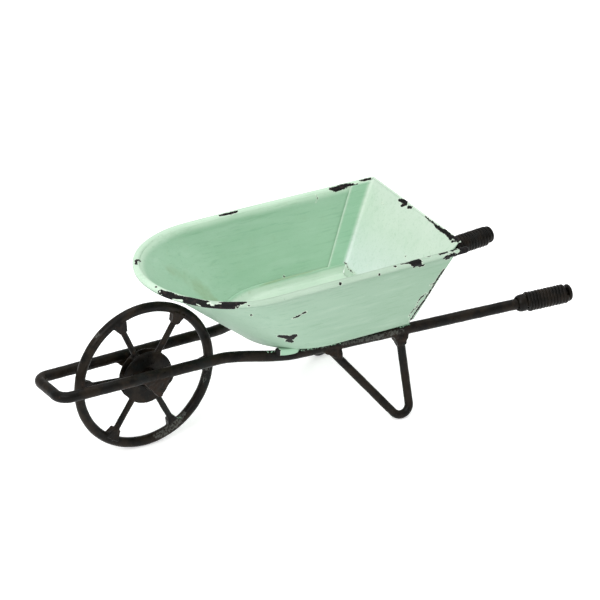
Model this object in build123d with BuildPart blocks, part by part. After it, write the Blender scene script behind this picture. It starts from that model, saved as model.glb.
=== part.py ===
from build123d import *
import os
from math import cos, radians, sin

# A small sheet-metal wheelbarrow: an enamelled tray on a bent round-rod frame, with a spoked
# wheel at the front.  +X points from the wheel towards the handles, +Z up, the ground is Z = 0.
# "left" is the left hand of someone holding the handles, which is the -Y side.

os.makedirs("parts", exist_ok=True)

# ------------------------------------------------------------------ driving dimensions (mm)
OVERALL_LENGTH = 304.8
AXLE_X = -91.1  # the front bar and the grip caps reach +-OVERALL_LENGTH / 2

# wheel
WHEEL_RADIUS = 42.49
RIM_ROD = 5.7
RIM_CENTRE_RADIUS = WHEEL_RADIUS - RIM_ROD / 2
SPOKE_ROD = 3.5
SPOKE_ANGLES = (-3.4, 57.5, 114.3, 175.5, 236.0, 297.2)  # set by hand, so a little uneven
HUB_DISC_RADIUS = 15.2
HUB_DISC_THICKNESS = 1.0
HUB_PLANE_Y = -1.5  # the spokes lie in this plane, clamped between the two discs
SLEEVE_RADIUS = 4.9
SLEEVE_HALF_LENGTH = 11.0
AXLE_RUNNING_CLEARANCE = 0.06

# frame rod
FRAME_ROD = 6.35
AXLE_ROD = 6.35
AXLE_HALF_LENGTH = 16.6
FORK_Z = WHEEL_RADIUS + FRAME_ROD / 2 + AXLE_ROD / 2
FORK_FRONT_HALF_GAP = 13.95
FORK_REAR_HALF_GAP = 15.2
FRONT_BEND_RADIUS = 6.6
SWEEP_START_X = AXLE_X + 37.0
SWEEP_END_X = AXLE_X + 80.0
SWEEP_MIDDLE_X = AXLE_X + 58.0  # by here the rod has dropped and starts to spread
SWEEP_MIDDLE_Y = 16.0
SWEEP_MIDDLE_Z = 45.9
SWEEP_FORK_CONTROL = 9.0
SWEEP_HANDLE_CONTROL = 13.0
HANDLE_HALF_GAP_AT_AXLE = 18.28
HANDLE_SPREAD = 0.096
HANDLE_Z_AT_AXLE = 45.2
HANDLE_RISE = 0.013

# axle lugs
LUG_INNER_Y = 12.0
LUG_OUTER_Y = 17.6
LUG_FIT = 0.01  # hairline between a lug and the rail it is welded to

# grips
GRIP_COLLAR_X = AXLE_X + 210.7
GRIP_BORE_RADIUS = FRAME_ROD / 2 + 0.01
GRIP_COLLAR_RADIUS = 4.35
GRIP_COLLAR_LENGTH = 4.9
COIL_RADIUS = 5.05
COIL_FIRST_TURN_RADIUS = 5.35
COIL_VALLEY_RADIUS = 4.4
COIL_TURNS = 12
COIL_PITCH = 2.12
COIL_LENGTH = COIL_TURNS * COIL_PITCH
GRIP_CAP_RADIUS = 4.3
GRIP_CAP_LENGTH = 2.34

# legs
LEG_ROD = 4.9
LEG_FRONT_TOP_X = AXLE_X + 97.4
LEG_REAR_TOP_X = AXLE_X + 140.2
LEG_POINT_X = AXLE_X + 140.2  # where the centrelines of the two straight limbs would meet
LEG_POINT_Y = 46.7
LEG_POINT_Z = -7.9
LEG_BEND_RADIUS = 5.42
LEG_WELD_HALF_THICKNESS = 2.8

# tray
SHEET = 0.8
WALL_RUN = 1.0  # sheet thickness measured horizontally across the leaning walls
TRAY_BASE_Z = 50.32
TRAY_TOP_Z = 98.7
RIM_BEAD_RADIUS = 2.1
RIM_WIRE_RADIUS = 1.3
RIM_Z = TRAY_TOP_Z - RIM_BEAD_RADIUS
RIM_NOSE_X = AXLE_X
RIM_NOSE_LENGTH = 54.0
RIM_HALF_WIDTH = 50.8
RIM_REAR_HALF_WIDTH = 49.5
RIM_REAR_X = AXLE_X + 169.0
RIM_END_X = AXLE_X + 171.2  # the rolled rim runs on past the rear panel
BASE_NOSE_X = AXLE_X + 60.6
BASE_NOSE_LENGTH = 40.2
BASE_HALF_WIDTH = 36.0
BASE_REAR_HALF_WIDTH = 35.7
BASE_REAR_X = AXLE_X + 144.0
KNUCKLE_RADIUS = 4.5
UNDER_FLANGE = 12.0
FLOOR_LIP_Z = 57.5
PANEL_FLANGE = 12.0
HEM_RADIUS = 1.05


def handle_point(x, side):
    """Point on a straight handle's centreline; side is -1 for the left, +1 for the right."""
    run = x - AXLE_X
    return Vector(
        x,
        side * (HANDLE_HALF_GAP_AT_AXLE + HANDLE_SPREAD * run),
        HANDLE_Z_AT_AXLE + HANDLE_RISE * run,
    )


def handle_direction(side):
    """Unit vector along a handle, towards its grip."""
    return Vector(1, side * HANDLE_SPREAD, HANDLE_RISE).normalized()


def mirror_y(point):
    """The same point on the other side of the barrow."""
    return Vector(point.X, -point.Y, point.Z)


# ================================================================== wheel
wheel_centre = Vector(AXLE_X, 0, WHEEL_RADIUS)
wheel_axis = Axis(wheel_centre, (0, 1, 0))
wheel_plane = Plane(origin=wheel_centre, x_dir=(1, 0, 0), z_dir=(0, -1, 0))
across_plane = Plane(origin=wheel_centre, x_dir=(1, 0, 0), z_dir=(0, 0, 1))

# round-rod rim
with BuildPart() as wheel_rim:
    with BuildSketch(across_plane):
        with Locations((RIM_CENTRE_RADIUS, 0)):
            Circle(RIM_ROD / 2)
    revolve(axis=wheel_axis)

# plain tube that turns on the axle, with chamfered ends
with BuildPart() as hub_sleeve:
    with BuildSketch(wheel_plane.offset(-SLEEVE_HALF_LENGTH)):
        Circle(SLEEVE_RADIUS)
        Circle(AXLE_ROD / 2 + AXLE_RUNNING_CLEARANCE, mode=Mode.SUBTRACT)
    extrude(amount=2 * SLEEVE_HALF_LENGTH)
    chamfer(hub_sleeve.edges().filter_by(GeomType.CIRCLE).group_by(SortBy.RADIUS)[-1], 0.4)

# thin hub discs that clamp the spokes between them
hub_plane = wheel_plane.offset(-HUB_PLANE_Y)
disc_offset = SPOKE_ROD / 2
with BuildPart() as hub_disc_left:
    with BuildSketch(hub_plane.offset(disc_offset)):
        Circle(HUB_DISC_RADIUS)
        Circle(SLEEVE_RADIUS, mode=Mode.SUBTRACT)
    extrude(amount=HUB_DISC_THICKNESS)
    fillet(hub_disc_left.edges().filter_by(GeomType.CIRCLE).group_by(SortBy.RADIUS)[-1], 0.35)

with BuildPart() as hub_disc_right:
    with BuildSketch(hub_plane.offset(-disc_offset - HUB_DISC_THICKNESS)):
        Circle(HUB_DISC_RADIUS)
        Circle(SLEEVE_RADIUS, mode=Mode.SUBTRACT)
    extrude(amount=HUB_DISC_THICKNESS)
    fillet(hub_disc_right.edges().filter_by(GeomType.CIRCLE).group_by(SortBy.RADIUS)[-1], 0.35)

# straight spokes, coped to the sleeve and to the rim
spokes = []
for angle in SPOKE_ANGLES:
    outwards = Vector(cos(radians(angle)), 0, sin(radians(angle)))
    spoke_root = SLEEVE_RADIUS - 1.2
    with BuildPart() as spoke:
        with BuildSketch(Plane(origin=hub_plane.origin + outwards * spoke_root, z_dir=outwards)):
            Circle(SPOKE_ROD / 2)
        extrude(amount=RIM_CENTRE_RADIUS - spoke_root)
        add(wheel_rim.part, mode=Mode.SUBTRACT)
        add(hub_sleeve.part, mode=Mode.SUBTRACT)
    spokes.append(spoke)

# weld webs where each spoke meets the rim: wide at the rim, tapering onto the spoke
with BuildPart() as rim_welds:
    with BuildSketch(hub_plane.offset(-2.9)):
        for angle in SPOKE_ANGLES:
            with Locations(Location((0, 0), angle)):
                Polygon(
                    (RIM_CENTRE_RADIUS - 7.2, -2.1),
                    (RIM_CENTRE_RADIUS - 0.9, -4.4),
                    (RIM_CENTRE_RADIUS - 0.9, 4.4),
                    (RIM_CENTRE_RADIUS - 7.2, 2.1),
                    align=None,
                )
    extrude(amount=5.0)
    fillet(rim_welds.edges().filter_by(Axis.Y), 0.8)
    add(wheel_rim.part, mode=Mode.SUBTRACT)
    for spoke in spokes:
        add(spoke.part, mode=Mode.SUBTRACT)

# weld that fills between the discs on both sides of each spoke, just inside their edges
with BuildPart() as hub_welds:
    with BuildSketch(hub_plane.offset(-disc_offset)):
        for angle in SPOKE_ANGLES:
            with Locations(Location((0, 0), angle)):
                with Locations((HUB_DISC_RADIUS - 2.0, 0)):
                    RectangleRounded(2.8, 5.2, 1.2)
    extrude(amount=2 * disc_offset)
    for spoke in spokes:
        add(spoke.part, mode=Mode.SUBTRACT)

# ================================================================== frame
front_bar_x = -OVERALL_LENGTH / 2 + FRAME_ROD / 2
grip_direction = handle_direction(1)
grip_origin = handle_point(GRIP_COLLAR_X, 1)
handle_end = grip_origin + grip_direction * (GRIP_COLLAR_LENGTH + COIL_LENGTH)
fork_end = Vector(SWEEP_START_X, FORK_REAR_HALF_GAP, FORK_Z)
fork_front = Vector(front_bar_x, FORK_FRONT_HALF_GAP, FORK_Z)
fork_direction = (fork_end - fork_front).normalized()
handle_start = handle_point(SWEEP_END_X, 1)

# one bent rod: handle, outward sweep, fork rail, front bar, and back along the other side
with BuildLine() as frame_path:
    right_sweep = [
        fork_end,
        fork_end + fork_direction * SWEEP_FORK_CONTROL,
        Vector(SWEEP_MIDDLE_X, SWEEP_MIDDLE_Y, SWEEP_MIDDLE_Z),
        handle_start - grip_direction * SWEEP_HANDLE_CONTROL,
        handle_start,
    ]
    Line(mirror_y(handle_end), mirror_y(handle_start))
    Bezier(*[mirror_y(p) for p in reversed(right_sweep)])
    FilletPolyline(
        mirror_y(fork_end),
        mirror_y(fork_front),
        fork_front,
        fork_end,
        radius=FRONT_BEND_RADIUS,
    )
    Bezier(*right_sweep)
    Line(handle_start, handle_end)

with BuildPart() as frame_rod:
    with BuildSketch(Plane(origin=mirror_y(handle_end), z_dir=-handle_direction(-1))):
        Circle(FRAME_ROD / 2)
    sweep(path=frame_path.wires()[0])

# straight axle rod, hung under the fork rails
with BuildPart() as axle:
    with BuildSketch(wheel_plane.offset(-AXLE_HALF_LENGTH)):
        Circle(AXLE_ROD / 2)
    extrude(amount=2 * AXLE_HALF_LENGTH)

# weld-built lugs that carry the axle ends: broad under the rail, rounded below the axle
with BuildPart() as axle_lug_left:
    with BuildSketch(wheel_plane.offset(LUG_INNER_Y)):
        lug = Polygon(
            (-9.7, 4.2),
            (-7.0, 1.5),
            (-3.4, -2.4),
            (-0.8, -5.9),
            (1.5, -5.9),
            (9.3, 4.2),
            align=None,
        )
        fillet(lug.vertices().group_by(Axis.Y)[0], 1.1)
    extrude(amount=LUG_OUTER_Y - LUG_INNER_Y)
    fillet(axle_lug_left.faces().sort_by(Axis.Y)[0].edges(), 0.5)
    with BuildSketch(Plane(origin=mirror_y(fork_front), z_dir=mirror_y(fork_direction))):
        Circle(FRAME_ROD / 2 + LUG_FIT)
    extrude(amount=(fork_end - fork_front).length, mode=Mode.SUBTRACT)
    add(axle.part, mode=Mode.SUBTRACT)

with BuildPart() as axle_lug_right:
    mirror(axle_lug_left.part, about=Plane.XZ)

# ================================================================== grips
grip_plane = Plane(
    origin=grip_origin,
    x_dir=grip_direction,
    z_dir=grip_direction.cross(Vector(0, 0, 1)),
)
grip_axis = Axis(grip_origin, grip_direction)

# rounded collar in front of the coil
with BuildPart() as grip_collar_right:
    with BuildSketch(grip_plane):
        with BuildLine():
            shoulder = Line((0, GRIP_BORE_RADIUS), (0, GRIP_BORE_RADIUS + 0.3))
            ThreePointArc(shoulder @ 1, (1.2, GRIP_COLLAR_RADIUS - 0.25), (2.4, GRIP_COLLAR_RADIUS))
            Polyline(
                (2.4, GRIP_COLLAR_RADIUS),
                (GRIP_COLLAR_LENGTH, GRIP_COLLAR_RADIUS),
                (GRIP_COLLAR_LENGTH, GRIP_BORE_RADIUS),
                shoulder @ 0,
            )
        make_face()
    revolve(axis=grip_axis)

# close-wound coil over the end of the handle; its first turn stands proud
with BuildPart() as grip_coil_right:
    with BuildSketch(grip_plane):
        with BuildLine():
            for turn in range(COIL_TURNS):
                crest = COIL_FIRST_TURN_RADIUS if turn == 0 else COIL_RADIUS
                near = GRIP_COLLAR_LENGTH + turn * COIL_PITCH
                ThreePointArc(
                    (near, COIL_VALLEY_RADIUS),
                    (near + COIL_PITCH / 2, crest),
                    (near + COIL_PITCH, COIL_VALLEY_RADIUS),
                )
            Polyline(
                (GRIP_COLLAR_LENGTH + COIL_LENGTH, COIL_VALLEY_RADIUS),
                (GRIP_COLLAR_LENGTH + COIL_LENGTH, GRIP_BORE_RADIUS),
                (GRIP_COLLAR_LENGTH, GRIP_BORE_RADIUS),
                (GRIP_COLLAR_LENGTH, COIL_VALLEY_RADIUS),
            )
        make_face()
    revolve(axis=grip_axis)

# rounded cap that closes the end of the rod
with BuildPart() as grip_cap_right:
    cap_plane = Plane(origin=handle_end, x_dir=grip_plane.y_dir, z_dir=grip_direction)
    with BuildSketch(cap_plane):
        Circle(GRIP_CAP_RADIUS)
    extrude(amount=GRIP_CAP_LENGTH)
    fillet(grip_cap_right.faces().sort_by(grip_axis)[-1].edges(), 1.5)

with BuildPart() as grip_collar_left:
    mirror(grip_collar_right.part, about=Plane.XZ)
with BuildPart() as grip_coil_left:
    mirror(grip_coil_right.part, about=Plane.XZ)
with BuildPart() as grip_cap_left:
    mirror(grip_cap_right.part, about=Plane.XZ)

# ================================================================== legs
leg_front_top = handle_point(LEG_FRONT_TOP_X, 1)
leg_rear_top = handle_point(LEG_REAR_TOP_X, 1)
leg_point = Vector(LEG_POINT_X, LEG_POINT_Y, LEG_POINT_Z)
along_rail = (leg_rear_top - leg_front_top).normalized()
leg_plane = Plane(
    origin=leg_front_top,
    x_dir=along_rail,
    z_dir=along_rail.cross(leg_point - leg_front_top),
)

# one rod bent into a V, coped to the underside of the handle
with BuildPart() as leg_right:
    with BuildLine() as leg_path:
        FilletPolyline(leg_front_top, leg_point, leg_rear_top, radius=LEG_BEND_RADIUS)
    with BuildSketch(Plane(origin=leg_front_top, z_dir=leg_point - leg_front_top)):
        Circle(LEG_ROD / 2)
    sweep(path=leg_path.wires()[0])
    add(frame_rod.part, mode=Mode.SUBTRACT)

# weld at the front limb: a web that fills the narrow angle under the rail
with BuildPart() as leg_weld_front_right:
    with BuildSketch(leg_plane.offset(-LEG_WELD_HALF_THICKNESS)):
        Polygon((-2.6, 0.5), (7.8, 0.5), (7.6, 7.2), (3.9, 6.8), (-2.2, 3.4), align=None)
    extrude(amount=2 * LEG_WELD_HALF_THICKNESS)
    add(frame_rod.part, mode=Mode.SUBTRACT)
    add(leg_right.part, mode=Mode.SUBTRACT)

# weld at the rear limb: flares out to both sides under the rail
with BuildPart() as leg_weld_rear_right:
    with BuildSketch(leg_plane.offset(-LEG_WELD_HALF_THICKNESS)):
        Polygon(
            (38.6, 0.5),
            (47.6, 0.5),
            (47.4, 3.4),
            (45.3, 8.0),
            (40.4, 8.0),
            (39.0, 3.8),
            align=None,
        )
    extrude(amount=2 * LEG_WELD_HALF_THICKNESS)
    add(frame_rod.part, mode=Mode.SUBTRACT)
    add(leg_right.part, mode=Mode.SUBTRACT)

with BuildPart() as leg_left:
    mirror(leg_right.part, about=Plane.XZ)
with BuildPart() as leg_weld_front_left:
    mirror(leg_weld_front_right.part, about=Plane.XZ)
with BuildPart() as leg_weld_rear_left:
    mirror(leg_weld_rear_right.part, about=Plane.XZ)

# ================================================================== tray


def blend(low, high, z):
    """Value at height z of something that runs straight from the tray base to the rim."""
    return low + (high - low) * (z - TRAY_BASE_Z) / (RIM_Z - TRAY_BASE_Z)


def tray_outline(z, inset):
    """Tray plan at height z, moved in by inset from the outer skin: round nose, flat rear."""
    skin_inset = 2 * RIM_BEAD_RADIUS - WALL_RUN
    nose = blend(BASE_NOSE_X, RIM_NOSE_X + skin_inset, z) + inset
    centre = blend(BASE_NOSE_X + BASE_NOSE_LENGTH, RIM_NOSE_X + RIM_NOSE_LENGTH, z)
    half = blend(BASE_HALF_WIDTH, RIM_HALF_WIDTH - skin_inset, z) - inset
    rear_half = blend(BASE_REAR_HALF_WIDTH, RIM_REAR_HALF_WIDTH - skin_inset, z) - inset
    rear = blend(BASE_REAR_X, RIM_REAR_X, z)
    with BuildSketch(Plane.XY.offset(z)) as outline:
        with BuildLine():
            EllipticalCenterArc((centre, 0), centre - nose, half, start_angle=90, arc_size=180)
            TangentArc((centre, half), (rear, rear_half), tangent=(1, 0))
            TangentArc((centre, -half), (rear, -rear_half), tangent=(1, 0))
            Line((rear, rear_half), (rear, -rear_half))
        make_face()
    return outline.sketch


def tray_volume(low, high, inset, knuckle):
    """Solid filling the tray between two heights, rounded along its bottom edge."""
    with BuildPart() as volume:
        add(tray_outline(low, inset))
        add(tray_outline(high, inset))
        loft(ruled=True)
        bottom = volume.faces().sort_by(Axis.Z)[0].edges()
        fillet(bottom.sort_by(Axis.X)[:-1], knuckle)
    return volume.part


outer_volume = tray_volume(TRAY_BASE_Z, RIM_Z, 0, KNUCKLE_RADIUS)
inner_volume = tray_volume(
    TRAY_BASE_Z + SHEET, TRAY_TOP_Z - HEM_RADIUS, WALL_RUN, KNUCKLE_RADIUS - SHEET
)
lining_volume = tray_volume(
    TRAY_BASE_Z + 2 * SHEET, TRAY_TOP_Z - HEM_RADIUS, 2 * WALL_RUN, KNUCKLE_RADIUS - 2 * SHEET
)

# plane of the leaning rear panel's outside, with its normal pointing rearwards
rear_plane = Plane(
    origin=(BASE_REAR_X, 0, TRAY_BASE_Z),
    x_dir=(0, 1, 0),
    z_dir=(RIM_Z - TRAY_BASE_Z, 0, BASE_REAR_X - RIM_REAR_X),
)
panel_front = rear_plane.offset(-SHEET)

# centreline of the rolled rim
with BuildLine() as rim_path:
    nose_centre = RIM_NOSE_X + RIM_NOSE_LENGTH
    bead_half = RIM_HALF_WIDTH - RIM_BEAD_RADIUS
    bead_rear_half = RIM_REAR_HALF_WIDTH - RIM_BEAD_RADIUS
    nose_run = RIM_NOSE_LENGTH - RIM_BEAD_RADIUS
    TangentArc((nose_centre, bead_half), (RIM_END_X, bead_rear_half), tangent=(1, 0))
    EllipticalCenterArc((nose_centre, 0), nose_run, bead_half, start_angle=90, arc_size=180)
    TangentArc((nose_centre, -bead_half), (RIM_END_X, -bead_rear_half), tangent=(1, 0))

rim_wire_path = Pos(0, 0, RIM_Z) * rim_path.wires()[0]
rim_start = Plane(origin=rim_wire_path @ 0, z_dir=rim_wire_path % 0)

# round wire inside the rolled rim, with rounded ends at the rear corners
with BuildPart() as rim_wire:
    with BuildSketch(rim_start):
        Circle(RIM_WIRE_RADIUS)
    sweep(path=rim_wire_path)
    with Locations(
        (RIM_END_X, bead_rear_half, RIM_Z),
        (RIM_END_X, -bead_rear_half, RIM_Z),
    ):
        Sphere(RIM_WIRE_RADIUS)

# nose and side walls in one sheet: flanged inwards under the floor, rolled outwards at the rim
with BuildPart() as tray_wall:
    add(outer_volume)
    add(inner_volume, mode=Mode.SUBTRACT)
    add(tray_outline(TRAY_BASE_Z, UNDER_FLANGE))
    extrude(amount=SHEET, mode=Mode.SUBTRACT)
    with BuildSketch(rim_start):
        Circle(RIM_BEAD_RADIUS)
    sweep(path=rim_wire_path)
    add(rim_wire.part, mode=Mode.SUBTRACT)

# floor sheet: a shallow dish whose upturned lip lies against the walls and the rear panel
with BuildPart() as floor_hollow:
    add(lining_volume)
    split(bisect_by=panel_front.offset(-SHEET), keep=Keep.BOTTOM)
with BuildPart() as tray_floor:
    add(inner_volume)
    split(bisect_by=panel_front, keep=Keep.BOTTOM)
    split(bisect_by=Plane.XY.offset(FLOOR_LIP_Z), keep=Keep.BOTTOM)
    add(floor_hollow.part, mode=Mode.SUBTRACT)

# leaning rear panel with a hemmed top and two flanges lying against the side walls
with BuildPart() as panel_flanges:
    add(inner_volume)
    add(lining_volume, mode=Mode.SUBTRACT)
    split(bisect_by=panel_front.offset(-PANEL_FLANGE), keep=Keep.TOP)
    split(bisect_by=Plane.XY.offset(FLOOR_LIP_Z + 0.3), keep=Keep.TOP)
    split(bisect_by=Plane.XY.offset(RIM_Z - 1.2), keep=Keep.BOTTOM)
with BuildPart() as tray_rear_panel:
    add(inner_volume)
    split(bisect_by=panel_front, keep=Keep.TOP)
    add(panel_flanges.part)
    hem_x = blend(BASE_REAR_X, RIM_REAR_X, TRAY_TOP_Z - HEM_RADIUS) - SHEET / 2
    hem_half = bead_rear_half - RIM_BEAD_RADIUS - 0.1
    with BuildSketch(Plane(origin=(hem_x, -hem_half, TRAY_TOP_Z - HEM_RADIUS), z_dir=(0, 1, 0))):
        Circle(HEM_RADIUS)
    extrude(amount=2 * hem_half)
    add(tray_wall.part, mode=Mode.SUBTRACT)

# paint-covered weld lumps between the tray and the frame rails
with BuildPart() as tray_welds:
    with BuildSketch(Plane.XY.offset(TRAY_BASE_Z - 3.2)):
        with Locations(
            Location((AXLE_X + 75.0, 26.6), 13),
            Location((AXLE_X + 75.0, -26.6), -13),
            Location((AXLE_X + 137.0, 30.0), 5),
            Location((AXLE_X + 137.0, -30.0), -5),
        ):
            Ellipse(6.8, 2.5)
    extrude(amount=4.0)
    fillet(tray_welds.edges(), 0.7)
    add(frame_rod.part, mode=Mode.SUBTRACT)
    add(tray_wall.part, mode=Mode.SUBTRACT)
    add(tray_floor.part, mode=Mode.SUBTRACT)
    add(tray_rear_panel.part, mode=Mode.SUBTRACT)

# ================================================================== export
pieces = {
    "wheel_rim": wheel_rim,
    "hub_sleeve": hub_sleeve,
    "hub_disc_left": hub_disc_left,
    "hub_disc_right": hub_disc_right,
    "rim_welds": rim_welds,
    "hub_welds": hub_welds,
    "frame_rod": frame_rod,
    "axle": axle,
    "axle_lug_left": axle_lug_left,
    "axle_lug_right": axle_lug_right,
    "grip_collar_left": grip_collar_left,
    "grip_collar_right": grip_collar_right,
    "grip_coil_left": grip_coil_left,
    "grip_coil_right": grip_coil_right,
    "grip_cap_left": grip_cap_left,
    "grip_cap_right": grip_cap_right,
    "leg_left": leg_left,
    "leg_right": leg_right,
    "leg_weld_front_left": leg_weld_front_left,
    "leg_weld_front_right": leg_weld_front_right,
    "leg_weld_rear_left": leg_weld_rear_left,
    "leg_weld_rear_right": leg_weld_rear_right,
    "tray_wall": tray_wall,
    "tray_floor": tray_floor,
    "tray_rear_panel": tray_rear_panel,
    "rim_wire": rim_wire,
    "tray_welds": tray_welds,
}
for number, spoke in enumerate(spokes, start=1):
    pieces[f"spoke_{number}"] = spoke
for name, piece in pieces.items():
    piece.part.label = name
    export_step(piece.part, f"parts/{name}.step")
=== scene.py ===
import math

import bmesh
import bpy
import numpy as np
from mathutils import Matrix, Vector, noise
from mathutils.bvhtree import BVHTree


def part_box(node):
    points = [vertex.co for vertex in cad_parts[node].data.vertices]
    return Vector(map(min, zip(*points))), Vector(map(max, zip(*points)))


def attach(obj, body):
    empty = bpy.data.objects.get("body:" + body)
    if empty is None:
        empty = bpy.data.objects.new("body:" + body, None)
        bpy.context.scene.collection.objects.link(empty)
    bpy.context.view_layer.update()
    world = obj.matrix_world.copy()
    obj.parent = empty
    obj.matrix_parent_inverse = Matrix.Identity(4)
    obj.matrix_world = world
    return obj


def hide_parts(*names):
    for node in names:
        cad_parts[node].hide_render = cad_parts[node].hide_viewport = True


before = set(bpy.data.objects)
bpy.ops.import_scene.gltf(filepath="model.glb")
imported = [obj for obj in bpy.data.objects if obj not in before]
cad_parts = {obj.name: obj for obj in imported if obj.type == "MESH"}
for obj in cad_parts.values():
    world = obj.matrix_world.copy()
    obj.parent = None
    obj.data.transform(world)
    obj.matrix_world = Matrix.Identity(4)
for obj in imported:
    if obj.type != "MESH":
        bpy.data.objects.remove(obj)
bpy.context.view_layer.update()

# A small sheet-metal wheelbarrow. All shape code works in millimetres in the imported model's
# frame: +X from the wheel to the handles, +Z up, the left side is -Y.

MM = 0.001


def box_mm(node):
    """Lowest and highest corner of a CAD node, in millimetres."""
    low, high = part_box(node)
    return np.array(low) / MM, np.array(high) / MM


axle_low, axle_high = box_mm("axle")
wall_low, wall_high = box_mm("tray_wall")
AXLE_X = (axle_low[0] + axle_high[0]) / 2

# ------------------------------------------------------------------ tray dimensions (mm)
SHEET = 0.8  # sheet thickness
WALL_RUN = 1.0  # plan thickness of the leaning wall
ROLL = 2.1  # radius of the rolled rim at the nose
ROLL_REAR = 1.9  # and at the rear corners
RIM_OVERHANG = 2 * ROLL - WALL_RUN  # how far the roll stands out past the wall's skin
BASE_Z = wall_low[2]
TOP_Z = wall_high[2]
RIM_Z = TOP_Z - ROLL
NOSE_X = wall_low[0]
NOSE_LENGTH = 54.0
HALF_WIDTH = wall_high[1]
REAR_TAPER = 1.3
REAR_HALF_WIDTH = HALF_WIDTH - REAR_TAPER
REAR_X = NOSE_X + 169.0
ROLL_END_X = wall_high[0] - ROLL
BASE_NOSE_X = AXLE_X + 60.6
BASE_NOSE_LENGTH = 40.2
BASE_HALF_WIDTH = 36.0
BASE_REAR_HALF_WIDTH = 35.7
BASE_REAR_X = AXLE_X + 144.0
KNUCKLE = 4.5  # bend radius between the wall and its turned-in bottom edge
UNDER_FLANGE = 7.0  # width of that bottom edge
FLOOR_LIP_Z = box_mm("tray_floor")[1][2]
PANEL_FLANGE = 12.0  # reach of the rear panel's side flanges at the floor
FLANGE_FLARE = 1.5  # extra reach at the rim
HEM = 0.65  # radius of the rear panel's rolled top edge
NOSE_SHARE = 0.413  # share of a side's outline taken by the nose curve


# ------------------------------------------------------------------ general mesh helpers
def ease(x, low, high):
    """Smooth 0 to 1 as x goes from low to high."""
    t = np.clip((x - low) / (high - low), 0, 1)
    return t * t * (3 - 2 * t)


def make_object(name, points, faces, attributes=None):
    """Mesh object from millimetre points; attributes are named per-point floats."""
    mesh = bpy.data.meshes.new(name)
    mesh.from_pydata((np.asarray(points) * MM).tolist(), [], faces)
    mesh.validate()
    mesh.polygons.foreach_set("use_smooth", [True] * len(mesh.polygons))
    for key, values in (attributes or {}).items():
        values = np.asarray(values, np.float32)
        if values.ndim == 2:
            layer = mesh.attributes.new(key, "FLOAT_COLOR", "POINT")
            values = np.column_stack([values, np.ones(len(values), np.float32)])
            layer.data.foreach_set("color", values.ravel())
        else:
            layer = mesh.attributes.new(key, "FLOAT", "POINT")
            layer.data.foreach_set("value", values)
    mesh.update()
    made = bpy.data.objects.new(name, mesh)
    bpy.context.scene.collection.objects.link(made)
    return made


def grid(rows, columns, close_rows=False, close_columns=False):
    """Quads of a rows x columns point grid, numbered row by row."""
    faces = []
    for i in range(rows if close_rows else rows - 1):
        for j in range(columns if close_columns else columns - 1):
            a = i * columns + j
            b = i * columns + (j + 1) % columns
            c = ((i + 1) % rows) * columns + (j + 1) % columns
            d = ((i + 1) % rows) * columns + j
            faces.append((a, b, c, d))
    return faces


def fractal(points, size, octaves=2, seed=0.0):
    """Smooth noise, about -1 to 1, at each millimetre point."""
    out = np.zeros(len(points))
    gain, total = 1.0, 0.0
    for octave in range(octaves):
        scale = 2**octave / size
        shift = Vector((seed + 17.3 * octave, 5.1 * seed, -3.7 * seed))
        out += gain * np.array([noise.noise(Vector(p) * scale + shift) for p in points])
        total += gain
        gain *= 0.5
    return out / total * 1.6


def sweep_frames(path):
    """Tangents and two sets of normals along a polyline, free of twist."""
    tangent = np.gradient(path, axis=0)
    tangent /= np.linalg.norm(tangent, axis=1)[:, None]
    first = np.zeros_like(path)
    guess = np.array([0, 0, 1.0]) if abs(tangent[0][2]) < 0.9 else np.array([1.0, 0, 0])
    for i, t in enumerate(tangent):
        guess = guess - t * (guess @ t)
        guess /= np.linalg.norm(guess)
        first[i] = guess
    second = np.cross(tangent, first)
    return tangent, first, second


DOME_RINGS = 5
DOME_TURN = 0.96 * math.pi / 2  # the dome stops just short of its pole


def tube(path, radii, sides):
    """Closed round bar along a path, with domed ends: (points, faces)."""
    path = np.asarray(path, float)
    radii = np.broadcast_to(np.asarray(radii, float), len(path)).copy()
    tangent, first, second = sweep_frames(path)
    centres, sizes, order = [], [], []
    for k in range(DOME_RINGS, 0, -1):
        a = DOME_TURN * k / DOME_RINGS
        centres.append(path[0] - tangent[0] * radii[0] * math.sin(a))
        sizes.append(radii[0] * math.cos(a))
        order.append(0)
    for i in range(len(path)):
        centres.append(path[i])
        sizes.append(radii[i])
        order.append(i)
    for k in range(1, DOME_RINGS + 1):
        a = DOME_TURN * k / DOME_RINGS
        centres.append(path[-1] + tangent[-1] * radii[-1] * math.sin(a))
        sizes.append(radii[-1] * math.cos(a))
        order.append(len(path) - 1)
    angles = np.linspace(0, 2 * math.pi, sides, endpoint=False)
    points = []
    for c, r, i in zip(centres, sizes, order):
        points.append(
            c + r * (np.cos(angles)[:, None] * first[i] + np.sin(angles)[:, None] * second[i])
        )
    points = np.concatenate(points)
    ring_count = len(centres)
    faces = grid(ring_count, sides, close_columns=True)
    faces.append(tuple(range(sides))[::-1])
    faces.append(tuple(range((ring_count - 1) * sides, ring_count * sides)))
    return points, faces


def join(*shells):
    """Joins (points, faces) shells into one."""
    points, faces, offset = [], [], 0
    for shell_points, shell_faces in shells:
        points.append(shell_points)
        faces += [tuple(i + offset for i in f) for f in shell_faces]
        offset += len(shell_points)
    return np.concatenate(points), faces


def sealed(points, faces):
    """Welds coincident points and turns every face outward: (points, faces)."""
    work = bmesh.new()
    corners = [work.verts.new(p) for p in points.tolist()]
    for face in faces:
        work.faces.new([corners[i] for i in face])
    bmesh.ops.remove_doubles(work, verts=work.verts, dist=1e-4)
    bmesh.ops.dissolve_degenerate(work, edges=work.edges, dist=1e-5)
    bmesh.ops.recalc_face_normals(work, faces=work.faces)
    work.verts.index_update()
    points = np.array([v.co[:] for v in work.verts])
    faces = [tuple(v.index for v in face.verts) for face in work.faces]
    work.free()
    return points, faces


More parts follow.
